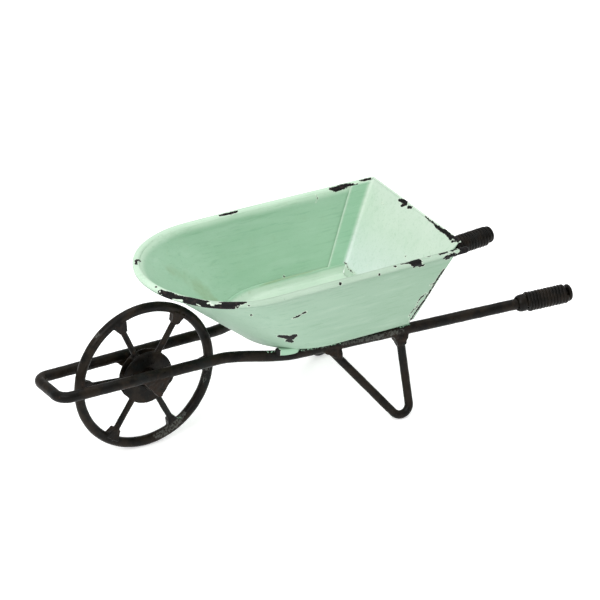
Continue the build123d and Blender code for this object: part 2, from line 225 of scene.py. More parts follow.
def marks(points, strokes, base=-4.0):
    """Signed depth in mm inside the nearest stroke: a list of (x, y, z, radius) polylines."""
    best = np.full(len(points), base)
    for stroke in strokes:
        stroke = np.asarray(stroke, float)
        if len(stroke) == 1:
            stroke = np.repeat(stroke, 2, axis=0)
        for a, b in zip(stroke[:-1], stroke[1:]):
            run = b[:3] - a[:3]
            length = max(run @ run, 1e-9)
            t = np.clip((points - a[:3]) @ run / length, 0, 1)
            away = np.linalg.norm(points - a[:3] - t[:, None] * run, axis=1)
            best = np.maximum(best, a[3] + (b[3] - a[3]) * t - away)
    return best


# ------------------------------------------------------------------ material helpers
class Nodes:
    """Short-hand for building a node material."""

    def __init__(self, name):
        self.material = bpy.data.materials.new(name)
        self.material.use_nodes = True
        self.tree = self.material.node_tree
        self.surface = self.tree.nodes["Principled BSDF"]
        self.place = self.add("ShaderNodeTexCoord").outputs["Object"]

    def add(self, kind, **settings):
        """A new node with these settings."""
        node = self.tree.nodes.new(kind)
        for key, value in settings.items():
            setattr(node, key, value)
        return node

    def link(self, source, target):
        """Feeds a socket from another socket or from a plain value."""
        if hasattr(source, "is_output"):
            self.tree.links.new(source, target)
        else:
            target.default_value = source

    def noise(self, size_mm, detail=3.0, rough=0.5, stretch=(1, 1, 1), distort=0.0):
        """Noise about 0.5 with features of this size, longer where stretch is below 1."""
        node = self.add("ShaderNodeTexNoise")
        vector = self.times(self.place, tuple(s / (size_mm * MM) for s in stretch))
        self.link(vector, node.inputs["Vector"])
        node.inputs["Scale"].default_value = 1.0
        node.inputs["Detail"].default_value = detail
        node.inputs["Roughness"].default_value = rough
        node.inputs["Distortion"].default_value = distort
        return node.outputs["Fac"]

    def math(self, operation, a, b=0.0, clamp=False):
        node = self.add("ShaderNodeMath", operation=operation, use_clamp=clamp)
        self.link(a, node.inputs[0])
        self.link(b, node.inputs[1])
        return node.outputs[0]

    def step(self, value, low, high, out_low=0.0, out_high=1.0):
        """Smooth step from out_low to out_high as the value goes from low to high."""
        node = self.add("ShaderNodeMapRange", interpolation_type="SMOOTHSTEP")
        self.link(value, node.inputs["Value"])
        node.inputs["From Min"].default_value = low
        node.inputs["From Max"].default_value = high
        node.inputs["To Min"].default_value = out_low
        node.inputs["To Max"].default_value = out_high
        return node.outputs["Result"]

    def mix(self, factor, a, b):
        node = self.add("ShaderNodeMix", data_type="RGBA")
        self.link(factor, node.inputs["Factor"])
        for value, socket in ((a, node.inputs["A"]), (b, node.inputs["B"])):
            self.link((*value, 1.0) if isinstance(value, tuple) else value, socket)
        return node.outputs["Result"]

    def times(self, vector, factors):
        node = self.add("ShaderNodeVectorMath", operation="MULTIPLY")
        self.link(vector, node.inputs[0])
        node.inputs[1].default_value = factors
        return node.outputs[0]

    def attribute(self, name):
        return self.add("ShaderNodeAttribute", attribute_name=name).outputs["Fac"]

    def bump(self, height, depth_mm, strength=1.0, normal=None):
        node = self.add("ShaderNodeBump")
        node.inputs["Strength"].default_value = strength
        node.inputs["Distance"].default_value = depth_mm * MM
        self.link(height, node.inputs["Height"])
        if normal is not None:
            self.link(normal, node.inputs["Normal"])
        return node.outputs["Normal"]

    def finish(self, color, roughness, normal, metallic=0.0, specular=0.5):
        self.link(color, self.surface.inputs["Base Color"])
        self.link(roughness, self.surface.inputs["Roughness"])
        self.link(normal, self.surface.inputs["Normal"])
        self.link(metallic, self.surface.inputs["Metallic"])
        self.link(specular, self.surface.inputs["Specular IOR Level"])
        return self.material


def iron_material(name, tone=1.0, rust=0.5):
    """Dark, waxed, blotchy iron with brown rust bloom, pale scuffs and specks of mint paint."""
    n = Nodes(name)
    cloud = n.noise(9.0, 4.0, 0.6)
    patch = n.noise(4.0, 4.0, 0.65, distort=0.4)
    fine = n.noise(0.9, 3.0, 0.6)
    dark = (0.0035 * tone, 0.0032 * tone, 0.0026 * tone)
    warm = (0.0135 * tone, 0.0100 * tone, 0.0068 * tone)
    cool = (0.0070 * tone, 0.0085 * tone, 0.0085 * tone)
    brown = (0.027 * tone, 0.0160 * tone, 0.0105 * tone)
    color = n.mix(n.step(cloud, 0.40, 0.62), dark, warm)
    color = n.mix(n.step(n.noise(14.0, 3.0), 0.56, 0.68, 0.0, 0.7), color, cool)
    bloom = n.math("MULTIPLY", n.step(patch, 0.58, 0.72), rust)
    bloom = n.math("ADD", bloom, n.math("MULTIPLY", n.attribute("rust"), n.step(patch, 0.38, 0.6)))
    color = n.mix(n.math("MINIMUM", bloom, 0.9), color, brown)
    color = n.mix(n.step(fine, 0.62, 0.76, 0.0, 0.35), color, (0.040, 0.036, 0.030))
    scratch = n.noise(1.3, 4.0, 0.7, stretch=(1, 1.6, 0.8), distort=0.6)
    scuff = n.step(n.math("ADD", n.math("MULTIPLY", n.attribute("scuff"), 0.16), scratch), 0.60, 0.70)
    scuff = n.math("MULTIPLY", scuff, n.step(n.attribute("scuff"), 0.0, 0.5))
    color = n.mix(n.math("MULTIPLY", scuff, 0.35), color, (0.18, 0.19, 0.17))
    speck = n.step(n.math("ADD", n.math("MULTIPLY", n.attribute("paint"), 0.2), fine), 0.62, 0.68)
    speck = n.math("MULTIPLY", speck, n.step(n.attribute("paint"), 0.0, 0.4))
    color = n.mix(speck, color, (0.36, 0.58, 0.42))
    rough = n.math("ADD", n.step(patch, 0.3, 0.75, 0.26, 0.50), n.math("MULTIPLY", scuff, 0.2))
    normal = n.bump(n.noise(2.6, 3.0, 0.55), 0.30, 0.55)
    normal = n.bump(fine, 0.10, 0.55, normal)
    return n.finish(color, rough, normal, 0.0, 0.11)


def enamel_material(name):
    """Brushed enamel in the mesh's own tint, chipped to black iron with a cream ring."""
    n = Nodes(name)
    tint = n.add("ShaderNodeAttribute", attribute_name="tint").outputs["Color"]
    large = n.noise(30.0, 3.0, 0.5)
    brush = n.noise(4.2, 5.0, 0.62, stretch=(0.14, 1.0, 1.0))
    fine_brush = n.noise(1.5, 4.0, 0.65, stretch=(0.09, 1.0, 1.0))
    grain = n.noise(0.8, 2.0, 0.5)

    def shade(color, factor, amount):
        """Multiplies a colour by a grey, mixed in by factor."""
        return n.mix(factor, color, n.times(color, amount))

    color = shade(tint, n.step(large, 0.36, 0.62), (0.945, 0.965, 0.955))
    color = n.mix(n.step(brush, 0.50, 0.72, 0.0, 0.08), color, (0.72, 0.84, 0.76))
    color = shade(color, n.step(brush, 0.50, 0.34), (0.955, 0.975, 0.96))
    color = shade(color, n.step(fine_brush, 0.52, 0.70), (0.87, 0.91, 0.88))
    color = shade(color, n.step(grain, 0.55, 0.75), (0.94, 0.955, 0.93))
    # olive darkening from the attribute plus noise: dirt, and painted shade on the floor's lip
    grime_and_lip_shade = n.math("ADD", n.attribute("grime_and_lip_shade"), n.math("MULTIPLY", n.noise(6.5, 4.0, 0.65), 0.9))
    color = n.mix(n.step(grime_and_lip_shade, 0.72, 1.40, 0.0, 0.42), color, (0.23, 0.29, 0.12))
    # chips: the stroke depth is roughened by noise, then cut at two levels
    ragged = n.math("MULTIPLY", n.math("SUBTRACT", n.noise(1.3, 4.0, 0.65, distort=0.3), 0.5), 2.0)
    fine_rag = n.math("SUBTRACT", n.noise(0.45, 2.0, 0.6), 0.5)
    ragged = n.math("ADD", ragged, n.math("MULTIPLY", fine_rag, 0.9))
    depth = n.math("ADD", n.attribute("chip"), ragged)
    ring = n.step(depth, -0.72, -0.50)
    bare = n.step(depth, -0.40, -0.28)
    speckle = n.math("ADD", n.attribute("speckle"), n.noise(1.1, 2.0, 0.5))
    bare = n.math("MAXIMUM", bare, n.step(speckle, 0.83, 0.86))
    flake = n.math("ADD", n.attribute("flake"), n.math("MULTIPLY", ragged, 0.35))
    bare = n.math("SUBTRACT", bare, n.step(flake, -0.05, 0.05), True)
    color = n.mix(n.math("MULTIPLY", ring, 0.55), color, (0.72, 0.80, 0.68))
    iron_tone = n.mix(
        n.step(n.noise(2.2, 3.0, 0.6), 0.5, 0.72), (0.006, 0.006, 0.0062), (0.030, 0.020, 0.019)
    )
    color = n.mix(bare, color, iron_tone)
    rough = n.math("ADD", n.step(brush, 0.3, 0.7, 0.38, 0.52), n.math("MULTIPLY", bare, 0.10))
    strokes = n.noise(2.4, 4.0, 0.55, stretch=(0.2, 1.0, 1.0))
    height = n.math("SUBTRACT", n.math("MULTIPLY", strokes, 0.35), bare)
    normal = n.bump(height, 0.15, 0.8)
    normal = n.bump(n.noise(11.0, 3.0, 0.5), 0.4, 0.25, normal)
    return n.finish(color, rough, normal, 0.0, n.step(bare, 0.0, 1.0, 0.40, 0.12))


# ------------------------------------------------------------------ tray shapes
def blend(low, high, z):
    """Value at height z between the tray base and the rim centreline."""
    return low + (high - low) * (z - BASE_Z) / (RIM_Z - BASE_Z)


def stations(nose_count, side_count):
    """Outline parameters from the left rear (-1) round the nose (0) to the right rear (1)."""
    nose = np.linspace(0, NOSE_SHARE, nose_count)
    side = np.linspace(NOSE_SHARE, 1, side_count)[1:]
    half = np.concatenate([nose, side])
    return np.concatenate([-half[:0:-1], half])


def plan(t, nose, centre, half, rear_half, rear):
    """Plan points of an outline with an elliptical nose and gently tapering sides."""
    a = np.minimum(np.abs(t) / NOSE_SHARE, 1) * math.pi / 2
    f = np.clip((np.abs(t) - NOSE_SHARE) / (1 - NOSE_SHARE), 0, 1)
    x = np.where(f > 0, centre + f * (rear - centre), centre - (centre - nose) * np.cos(a))
    y = np.where(f > 0, half - (half - rear_half) * f**2, half * np.sin(a))
    return np.stack([x, y * np.sign(t)], axis=1)


def outline(t, z, inset):
    """Plan of the tray skin at height z, moved in by inset."""
    return plan(
        t,
        blend(BASE_NOSE_X, NOSE_X + RIM_OVERHANG, z) + inset,
        blend(BASE_NOSE_X + BASE_NOSE_LENGTH, NOSE_X + NOSE_LENGTH, z),
        blend(BASE_HALF_WIDTH, HALF_WIDTH - RIM_OVERHANG, z) - inset,
        blend(BASE_REAR_HALF_WIDTH, REAR_HALF_WIDTH - RIM_OVERHANG, z) - inset,
        blend(BASE_REAR_X, REAR_X, z),
    )


def outward(curve):
    """Unit plan normals pointing out of the tray, for points running left rear to right rear."""
    run = np.gradient(curve, axis=0)
    normal = np.stack([-run[:, 1], run[:, 0]], axis=1)
    return normal / np.linalg.norm(normal, axis=1)[:, None]


class Skin:
    """One surface of a tray sheet: flat bottom, rolled knuckle and leaning wall."""

    def __init__(self, t, low, inset, radius):
        self.low, self.radius = low, radius
        self.base, self.top = outline(t, low, inset), outline(t, RIM_Z, inset)
        self.normal = outward(self.base * 0.5 + self.top * 0.5)
        lean = np.arctan2(
            ((self.top - self.base) * self.normal).sum(1), np.full(len(t), RIM_Z - low)
        )
        self.turn = math.pi / 2 - lean
        self.tangent = radius * np.tan(self.turn / 2)
        self.height = low + radius * (1 - np.cos(self.turn))

    def wall_at(self, z):
        """Ring on the wall at height z, or where the wall begins if that is higher."""
        z = np.maximum(z, self.height)
        f = ((z - self.low) / (RIM_Z - self.low))[:, None]
        return np.column_stack([self.base + (self.top - self.base) * f, z])

    def wall(self, share):
        """Ring on the wall: share 0 at the knuckle's end, 1 at the rim centreline."""
        return self.wall_at(self.height + (RIM_Z - self.height) * share)

    def knuckle(self, share):
        """Ring on the knuckle: share 0 on the flat bottom, 1 where the wall begins."""
        a = self.turn * share
        out = (-self.tangent + self.radius * np.sin(a))[:, None]
        z = self.low + self.radius * (1 - np.cos(a))
        return np.column_stack([self.base + self.normal * out, z])

    def bottom(self, extra):
        """Ring on the flat bottom, a distance in from the knuckle."""
        out = -(self.tangent + extra)[:, None]
        return np.column_stack([self.base + self.normal * out, np.full(len(self.base), self.low)])


WAVE_HEIGHT = 0.22
WAVE_SIZE = 38.0


def wobble(points):
    """Gentle hand-beaten waviness, mostly across the sheet."""
    wave = np.stack(
        [
            fractal(points, WAVE_SIZE, 2, 3.0),
            fractal(points, WAVE_SIZE, 2, 14.0),
            fractal(points, WAVE_SIZE * 1.3, 1, 26.0) * 0.4,
        ],
        axis=1,
    )
    return points + wave * WAVE_HEIGHT


TRUE_HEIGHT = 6.0  # up to this height above its base the tray is left true
LEFT_DROP = (0.7, 1.25, 0.5)  # all along, past the nose, and again near the rear corner
RIGHT_LIFT = 0.15
SPREAD = 0.3
NOSE_TUCK = 0.5
REAR_PULL = 1.6
BEAD_REAR_PULL = -2.8  # the bead's left end reaches back instead


def height_share(z):
    """0 low on the tray, 1 at the rim, a little more above it."""
    return np.clip((z - BASE_Z - TRUE_HEIGHT) / (RIM_Z - BASE_Z - TRUE_HEIGHT), 0, 1.1)


def hand_made(points, rear_pull=REAR_PULL):
    """The tray isn't quite symmetric: its left rim hangs lower, its right one higher."""
    x, y, z = np.asarray(points).T
    up = height_share(z)
    left, right = ease(-y, 4, 42), ease(y, 0, 30)
    past_nose, near_corner = ease(x, NOSE_X, NOSE_X + 55), ease(x, 30, 78)
    drop = LEFT_DROP[0] + LEFT_DROP[1] * past_nose + LEFT_DROP[2] * near_corner
    tuck = NOSE_TUCK * ease(-x, -NOSE_X - 25, -NOSE_X)
    out = np.array(points, float)
    out[:, 2] += up * (RIGHT_LIFT * right - left * drop)
    out[:, 1] += up * SPREAD * (right - left)
    out[:, 0] += up * (tuck - rear_pull * left * ease(x, 35, 78))
    return out


PANEL_SHIFT = np.array([0.5, 0.0, 1.1])


def panel_hand_made(points):
    """The rear panel's top edge stands a little above the rolled rim."""
    up = height_share(points[:, 2])
    flange = ease(rear_plane_x(points[:, 2], 0) - points[:, 0], 0.4, 3.6)[:, None]
    lifted = points + up[:, None] * PANEL_SHIFT
    lifted[:, 1] += up * SPREAD * np.clip(points[:, 1] / 20, -1, 1)
    lifted[:, 0] -= up * SPREAD * ease(-points[:, 1], 25, 46)
    return lifted * (1 - flange) + hand_made(points) * flange


def sheet_faces(rows, columns):
    """Faces of a closed sheet section: rows run round the section, ends are filled in pairs."""
    faces = grid(rows, columns, close_rows=True)
    for j, flip in ((0, True), (columns - 1, False)):
        for i in range(rows // 2 - 1):
            a, b = i * columns + j, (i + 1) * columns + j
            c, d = (rows - 2 - i) * columns + j, (rows - 1 - i) * columns + j
            faces.append((a, b, c, d) if flip else (d, c, b, a))
    return faces


T = stations(170, 170)
COLUMNS = len(T)
WALL_STEPS = 62
WALL_TOP = 1.03  # the wall's last ring is hidden inside the roll
INNER_TUCK = 0.4  # and its inner skin leans in this far to meet the roll
KNUCKLE_SHARES = np.linspace(0, 1, 9)

# nose and side walls
outer = Skin(T, BASE_Z, 0.0, KNUCKLE)
inner = Skin(T, BASE_Z + SHEET, WALL_RUN, KNUCKLE - SHEET)
wall_shares = np.linspace(0, 1, WALL_STEPS + 1)[1:] * WALL_TOP
rings = [outer.bottom(extra) for extra in (UNDER_FLANGE, 1.5, 0)]
rings += [outer.knuckle(s) for s in KNUCKLE_SHARES[1:]]
rings += [outer.wall(s) for s in wall_shares]
for s in wall_shares[::-1]:
    ring = inner.wall(s)
    ring[:, :2] -= inner.normal * INNER_TUCK * ease(s, 0.88, 1.0)
    rings.append(ring)
rings += [inner.knuckle(s) for s in KNUCKLE_SHARES[:0:-1]]
rings += [inner.bottom(extra) for extra in (0, 1.5, UNDER_FLANGE)]
wall_rows = len(rings)
wall_points = np.concatenate(rings)
wall_faces = sheet_faces(wall_rows, COLUMNS)
wall_is_inner = np.repeat(np.arange(wall_rows) >= wall_rows // 2, COLUMNS)

# rolled rim: full round at the nose, a little slimmer towards the rear corners
ROLL_SIDES = 28
roll_t = stations(280, 320)
roll_radius = ROLL - (ROLL - ROLL_REAR) * np.clip((np.abs(roll_t) - 0.35) / 0.55, 0, 1)
roll_plan = plan(
    roll_t,
    NOSE_X + ROLL,
    NOSE_X + NOSE_LENGTH,
    HALF_WIDTH - ROLL,
    REAR_HALF_WIDTH - ROLL,
    ROLL_END_X,
)
roll_path = np.column_stack([roll_plan, TOP_Z - roll_radius])
roll_path[:, :2] -= outward(roll_plan) * (ROLL - roll_radius)[:, None]
roll_points, roll_faces = tube(roll_path, roll_radius, ROLL_SIDES)

# floor: a shallow dish whose lip lies against the walls
FLOOR_GAP = 0.04  # keeps the floor sheet clear of the wall sheet
ACROSS = 44  # faces across the floor
dish_top = Skin(T, BASE_Z + 2 * SHEET, 2 * WALL_RUN, KNUCKLE - 2 * SHEET)
dish_under = Skin(T, BASE_Z + SHEET + FLOOR_GAP, WALL_RUN + FLOOR_GAP, KNUCKLE - SHEET)


def lip_ring(skin, drop, shift=0.0):
    """Ring on the lip, a drop below its top edge and shifted towards the wall."""
    ring = skin.wall_at(FLOOR_LIP_Z - drop)
    ring[:, :2] += skin.normal * shift
    return ring


lip_start = lip_ring(dish_under, 0.3)
top_rings = [lip_start, lip_ring(dish_top, 0, 0.55), lip_ring(dish_top, 0.12, 0.2)]
top_rings += [lip_ring(dish_top, 0.5)]
top_rings += [dish_top.wall(s) for s in np.linspace(0.055, 0, 4)[:-1]]
top_rings += [dish_top.knuckle(s) for s in KNUCKLE_SHARES[::-1]]
half_count = COLUMNS // 2


def fill_across(ring):
    """Rows of points joining each left edge point to the right one opposite."""
    rows = []
    for k in range(half_count):
        left, right = ring[k], ring[len(ring) - 1 - k]
        f = np.linspace(0, 1, ACROSS + 1)[1:-1, None]
        rows.append(left + (right - left) * f)
    return np.concatenate(rows)


def dish(rings):
    """Shell made of outline rings and straight rows across the last one."""
    points = np.concatenate(rings + [fill_across(rings[-1])])
    faces = grid(len(rings), COLUMNS)
    last = (len(rings) - 1) * COLUMNS
    inside = len(rings) * COLUMNS

    def at(k, m):
        """Index of the point in row k, m steps from the left edge."""
        if m == 0:
            return last + k
        if m == ACROSS:
            return last + COLUMNS - 1 - k
        return inside + k * (ACROSS - 1) + m - 1

    for k in range(half_count):
        for m in range(ACROSS):
            if k + 1 == half_count:
                faces.append((at(k, m), at(k, m + 1), last + half_count))
            else:
                faces.append((at(k, m), at(k, m + 1), at(k + 1, m + 1), at(k + 1, m)))
    return points, faces


floor_top_points, floor_top_faces = dish(top_rings)
under_rings = [lip_start]
under_rings += [dish_under.wall(s) for s in np.linspace(0.05, 0, 3)[:-1]]
under_rings += [dish_under.knuckle(s) for s in KNUCKLE_SHARES[::-1]]
floor_under_points, floor_under_faces = dish(under_rings)


def rear_plane_x(z, forward):
    """X of the leaning rear plane at height z, moved forward along its normal."""
    slope = math.hypot(RIM_Z - BASE_Z, REAR_X - BASE_REAR_X) / (RIM_Z - BASE_Z)
    return blend(BASE_REAR_X, REAR_X, z) - forward * slope


REAR_GAP = 0.35  # keeps the floor clear of the rear panel


def trim_rear(points):
    """Slides points that reach the rear panel forward, to just before its inner face."""
    out = points.copy()
    out[:, 0] = np.minimum(out[:, 0], rear_plane_x(out[:, 2], SHEET + REAR_GAP))
    return out


floor_points, floor_faces = join(
    (trim_rear(floor_top_points), floor_top_faces),
    (trim_rear(floor_under_points), [f[::-1] for f in floor_under_faces]),
)


def rear_loop(offset, ring_total):
    """Open rear edge of one floor skin: left ring ends, the first row across, right ends."""
    left = [offset + r * COLUMNS for r in range(ring_total)]
    inner_row = [offset + ring_total * COLUMNS + m for m in range(ACROSS - 1)]
    right = [offset + r * COLUMNS + COLUMNS - 1 for r in range(ring_total)][::-1]
    return left + inner_row + right


def strip(loop_a, loop_b, points):
    """Triangles closing the gap between two open loops of different length."""
    faces, i, j = [], 0, 0
    while i < len(loop_a) - 1 or j < len(loop_b) - 1:
        take_a = j == len(loop_b) - 1 or (
            i < len(loop_a) - 1
            and np.linalg.norm(points[loop_a[i + 1]] - points[loop_b[j]])
            <= np.linalg.norm(points[loop_a[i]] - points[loop_b[j + 1]])
        )
        if take_a:
            faces.append((loop_a[i], loop_a[i + 1], loop_b[j]))
            i += 1
        else:
            faces.append((loop_a[i], loop_b[j + 1], loop_b[j]))
            j += 1
    return faces


# the two skins meet in the lip's first ring, so only their rear edges are closed here
top_edge = rear_loop(0, len(top_rings))
under_edge = rear_loop(len(floor_top_points), len(under_rings))
floor_faces += strip(top_edge, under_edge, floor_points)
floor_points, floor_faces = sealed(floor_points, floor_faces)

# rear panel: bent sheet with a flange on each side wall and a rolled top edge
PANEL_Z = (BASE_Z + SHEET + 0.15, TOP_Z - HEM)
FLANGE_Z = (FLOOR_LIP_Z - 0.5, RIM_Z + 0.7)
PANEL_ROWS = 72
PANEL_STEPS = 139
BEND = 2.2  # outer radius of the bend into each flange
PANEL_GAP = 0.02  # keeps the flanges clear of the wall


def half_width_at(x, z, inset):
    """Half the tray's width at x on its straight sides, at height z, less an inset."""
    centre = blend(BASE_NOSE_X + BASE_NOSE_LENGTH, NOSE_X + NOSE_LENGTH, z)
    half = blend(BASE_HALF_WIDTH, HALF_WIDTH - RIM_OVERHANG, z)
    rear_half = blend(BASE_REAR_HALF_WIDTH, REAR_HALF_WIDTH - RIM_OVERHANG, z)
    f = (x - centre) / (blend(BASE_REAR_X, REAR_X, z) - centre)
    return half - (half - rear_half) * f**2 - inset


def panel_path(z_share, depth):
    """Plan path of one face of the bent sheet: left flange, corner, panel, corner, flange."""
    path = []
    reach = PANEL_FLANGE + FLANGE_FLARE * z_share
    z_mid = PANEL_Z[0] + (PANEL_Z[1] - PANEL_Z[0]) * z_share
    z_flange = FLANGE_Z[0] + (FLANGE_Z[1] - FLANGE_Z[0]) * z_share
    inset = WALL_RUN + PANEL_GAP + depth
    bend = BEND - depth
    for f in np.linspace(0, 1, 12)[:-1]:
        x = rear_plane_x(z_flange, depth) - reach + (reach - BEND) * f
        path.append((x, -half_width_at(x, z_flange, inset), z_flange))
    for a in np.linspace(0, math.pi / 2, 8):
        z = z_flange + (z_mid - z_flange) * math.sin(a) ** 2
        x_bend = rear_plane_x(z, depth) - bend
        y = half_width_at(x_bend, z, inset) - bend + bend * math.cos(a)
        path.append((x_bend + bend * math.sin(a), -y, z))
    x_mid, left = rear_plane_x(z_mid, depth), path[-1][1]
    middle = [(x_mid, left * (1 - 2 * f), z_mid) for f in np.linspace(0, 1, PANEL_STEPS + 1)[1:-1]]
    mirrored = [(x, -y, z) for x, y, z in path[::-1]]
    return path + middle + mirrored


rows = [panel_path(s, 0.0) for s in np.linspace(0, 1, PANEL_ROWS)]
rows += [panel_path(s, SHEET) for s in np.linspace(1, 0, PANEL_ROWS)]
panel_columns = len(rows[0])
panel_points = np.array(rows).reshape(-1, 3)
panel_faces = sheet_faces(len(rows), panel_columns)
hem_half = REAR_HALF_WIDTH - 2 * ROLL - 0.1
hem_z = TOP_Z - HEM
hem_x = rear_plane_x(hem_z, SHEET / 2)
hem_path = [(hem_x, y, hem_z) for y in np.linspace(-hem_half, hem_half, 200)]
hem_points, hem_faces = tube(hem_path, HEM, 16)
panel_all, panel_all_faces = join((panel_points, panel_faces), (hem_points, hem_faces))

# ------------------------------------------------------------------ chips and marks (mm)
# Each mark is a stroke over the surface: (x, y, z, radius) points in order. The enamel is bare
# to about 0.3 mm outside the radius and worn pale to about 0.6 mm, so a radius can be negative.
CHIPS_RIM = [
    # left end of the bead
    [(79.5, -48, 97, 1.0), (82, -48.5, 96, 1.9), (83, -48.5, 94.5, 1.9), (79.5, -49.5, 93.5, 1.2)],
    [(76, -50, 93.5, 0.9), (72.5, -50, 93.5, 0.7)],
    [(78.5, -48, 96.5, 1.85), (80, -49, 95.5, 1.55)],
    [(79.5, -48.5, 94, 1.2), (77, -48.5, 94, 1.35), (74.5, -48.5, 94, 0.5)],
    # top and underside of the bead, left of the nose
    [(-88.5, -14, 97, 1.4), (-88, -14.5, 97.5, 1.1)],
    [(-88, -15, 96.5, 1.5), (-86, -20, 97, 2.05), (-84, -24, 97, 1.35), (-82, -27, 97.5, 1.3)],
    [(-82, -27, 97.5, 1.3), (-77, -33, 97.5, 1.55), (-74.5, -35.5, 97.5, 1.05), (-72, -37.5, 97.5, 0.35)],
    [(-81.5, -28.5, 96.5, 1.15), (-79, -32, 96, 1.15), (-77, -34, 96, 0.9), (-75, -36, 95.5, 1.2)],
    [(-75, -36, 95.5, 1.2), (-72, -38.5, 95, 1.3), (-69.5, -40.5, 95, 1.3), (-67, -42.5, 95.5, 1.8)],
    [(-67, -42.5, 95.5, 1.8), (-64, -44, 96, 1.9), (-62, -45.5, 95, 1.15)],
    [(-67.5, -41, 97, 0.5), (-65, -42.5, 97, 1.15), (-61.5, -44.5, 97, 1.5)],
    [(-61.5, -44.5, 97, 1.5), (-58, -45.5, 97, 1.2), (-55, -46.5, 97, 0.55)],
    [(-60, -46.5, 95, 0.35)],
    [(-88.5, -9.5, 98.5, 0.3)],
    [(-54, -48.5, 95.5, 0.2)],
    # left side
    [(72, -47.5, 96.5, 0.55), (75, -47, 96.5, 0.9)],
    [(64.5, -48, 96.5, 0.5), (69, -48, 96.5, 0.6)],
    [(65, -47, 92, 0.5), (67.5, -49, 93.5, 1.35), (72.5, -48.5, 94, 1.3)],
    [(70, -45.5, 91, 0.35), (72, -45.5, 91, 0.25)],
    [(44.5, -49, 96.5, 0.45), (47, -49.5, 96, 1.65), (49.5, -49.5, 96, 1.9)],
    [(49.5, -49.5, 96, 1.9), (53.5, -46.5, 92, 1.45), (55, -46, 91.5, 1.1)],
    [(49.5, -46.5, 91.5, 0.45), (48.5, -49.5, 94.5, 1.55)],
    [(40, -48.5, 96.5, 0.1), (44, -49, 96.5, 0.2)],
    [(56.5, -47.5, 96.5, 0.1), (58.5, -48, 96.5, 0.1)],
    [(36, -49, 96.5, 0.5)],
    [(25.5, -50, 94.5, 0.5)],
    [(1, -50.5, 95.5, 0.5)],
    # right side
    [(-17, 48, 98.5, 0.15), (-13, 48, 98.5, 0.45), (-9.5, 47.5, 98.5, 0.6), (-6, 48, 98.5, 0.25)],
    [(52, 46.5, 98.5, 0.5), (55, 46, 98, 1.25), (60.5, 46.5, 98, 1.25), (66, 46, 98, 0.5)],
    [(64.5, 45.5, 96.5, 0.25), (68.5, 45.5, 97.5, 0.2)],
    [(71, 47, 98.5, 0.25), (74.5, 46.5, 98.5, 0.45), (77.5, 46.5, 98.5, 0.35)],
    [(-84.5, 19, 99, 0.5), (-83, 22.5, 99, 0.45), (-79.5, 24.5, 97, 0.45)],
]
CHIPS_OUTSIDE = [
    [(-48, -40.5, 85, 0.6)],
    [(-26.5, -34, 64, 1.3), (-23.5, -35, 63, 1.7), (-20.5, -35.5, 62, 1.8), (-19.5, -37, 63.5, 1.55)],
    [(-21, -33.5, 59.5, 1.55), (-19.5, -33.5, 58.5, 1.3)],
    [(-24, -43, 78, 0.2), (-21, -43.5, 78.5, 0.35), (-19, -43.5, 79.5, 0.2), (-16.5, -44, 80, 0.5)],
]
CORNER_LINE = [
    [(70, -44, 84, 0.2), (67, -42.5, 79, 0.3), (64, -41, 73, 0.25), (61, -39.5, 67, 0.3)],
    [(61, -39.5, 67, 0.3), (57.5, -38.5, 61.5, 0.35), (53, -36.5, 54, 0.35)],
    [(66, -42.5, 76.5, -0.05), (62.5, -41.5, 75.5, 0.05)],
    [(60.5, -41, 70, 0.1), (57.5, -40, 68, 0.15), (55.5, -39.5, 64, -0.1)],
    [(56.5, -39, 63, 0.1), (53, -38.5, 58.5, 0)],
    [(54.5, -38.5, 61.5, 0.05), (51.5, -37.5, 57, -0.1)],
]
CHIPS_INSIDE = [
    [(42, 46.5, 98, -0.2), (43.5, 45.5, 95.5, -0.1), (42, 45, 93, -0.2)],
    [(17, 37, 58, 0.45)],
]
CHIPS_PANEL = [
    [(78, -39, 99.5, 0.7), (78.5, -42, 99.5, 1.0), (78.5, -44.5, 99.5, 0.9)],
    [(77.5, 16.5, 98, 0.6), (78, 12.5, 99, 0.8), (78, 9.5, 99, 0.9)],
    [(77, 12.5, 96.5, 0.55), (77.5, 10.5, 98, 0.8)],
    [(77.5, 6.5, 98, 0.55), (78, 3.5, 99, 0.35)],
    [(78, -10, 99.5, 0.1), (78, -15, 99, 0.2), (78, -19, 99, 0.3), (78, -22.5, 98.5, 0.6)],
    [(78, -22.5, 98.5, 0.6), (78, -24.5, 98.5, 0.8), (78, -28, 98.5, 0.7), (78, -31, 99, 0.9)],
    [(78, -31, 99, 0.9), (77.5, -35.5, 99, 1.15), (77.5, -37.5, 98.5, 1.4)],
    [(76.5, -40, 97.5, 0.7), (77, -42, 98.5, 0.65), (77.5, -45.5, 99.5, 0.35)],
]
CRACK = [
    [(54, 35.5, 58, -0.05), (55, 35, 57, 0), (55, 32, 55.5, 0.1), (54.5, 24.5, 55.5, -0.05)],
]
CHIPS_FLOOR = [
    [(17, 37, 57.5, 0.35)],
]
# islands of enamel left inside the chips
FLAKES = [
    [(-88.5, -13.5, 97.5, 0.5)],
    [(-88.5, -15, 96, 0.5)],
    [(-73, -37.5, 97, 0.5), (-70.5, -38.5, 97.5, 0.35)],
    [(-77.5, -33.5, 96, 0.3), (-76, -35, 95, 0.45)],
    [(-71.5, -39, 96.5, 0.65), (-70.5, -40, 96, 0.3)],
    [(-85.5, -22, 95.5, 0.55), (-82.5, -27, 96.5, 0.55)],
    [(-69.5, -40, 97, 0.3), (-67, -41.5, 97, 0.3)],
    [(77.5, -46, 99, 0.3)],
    [(76, -49, 95.5, 0.45)],
    [(61, 45.5, 97, 0.35), (66, 45.5, 97.5, 0.25)],
]
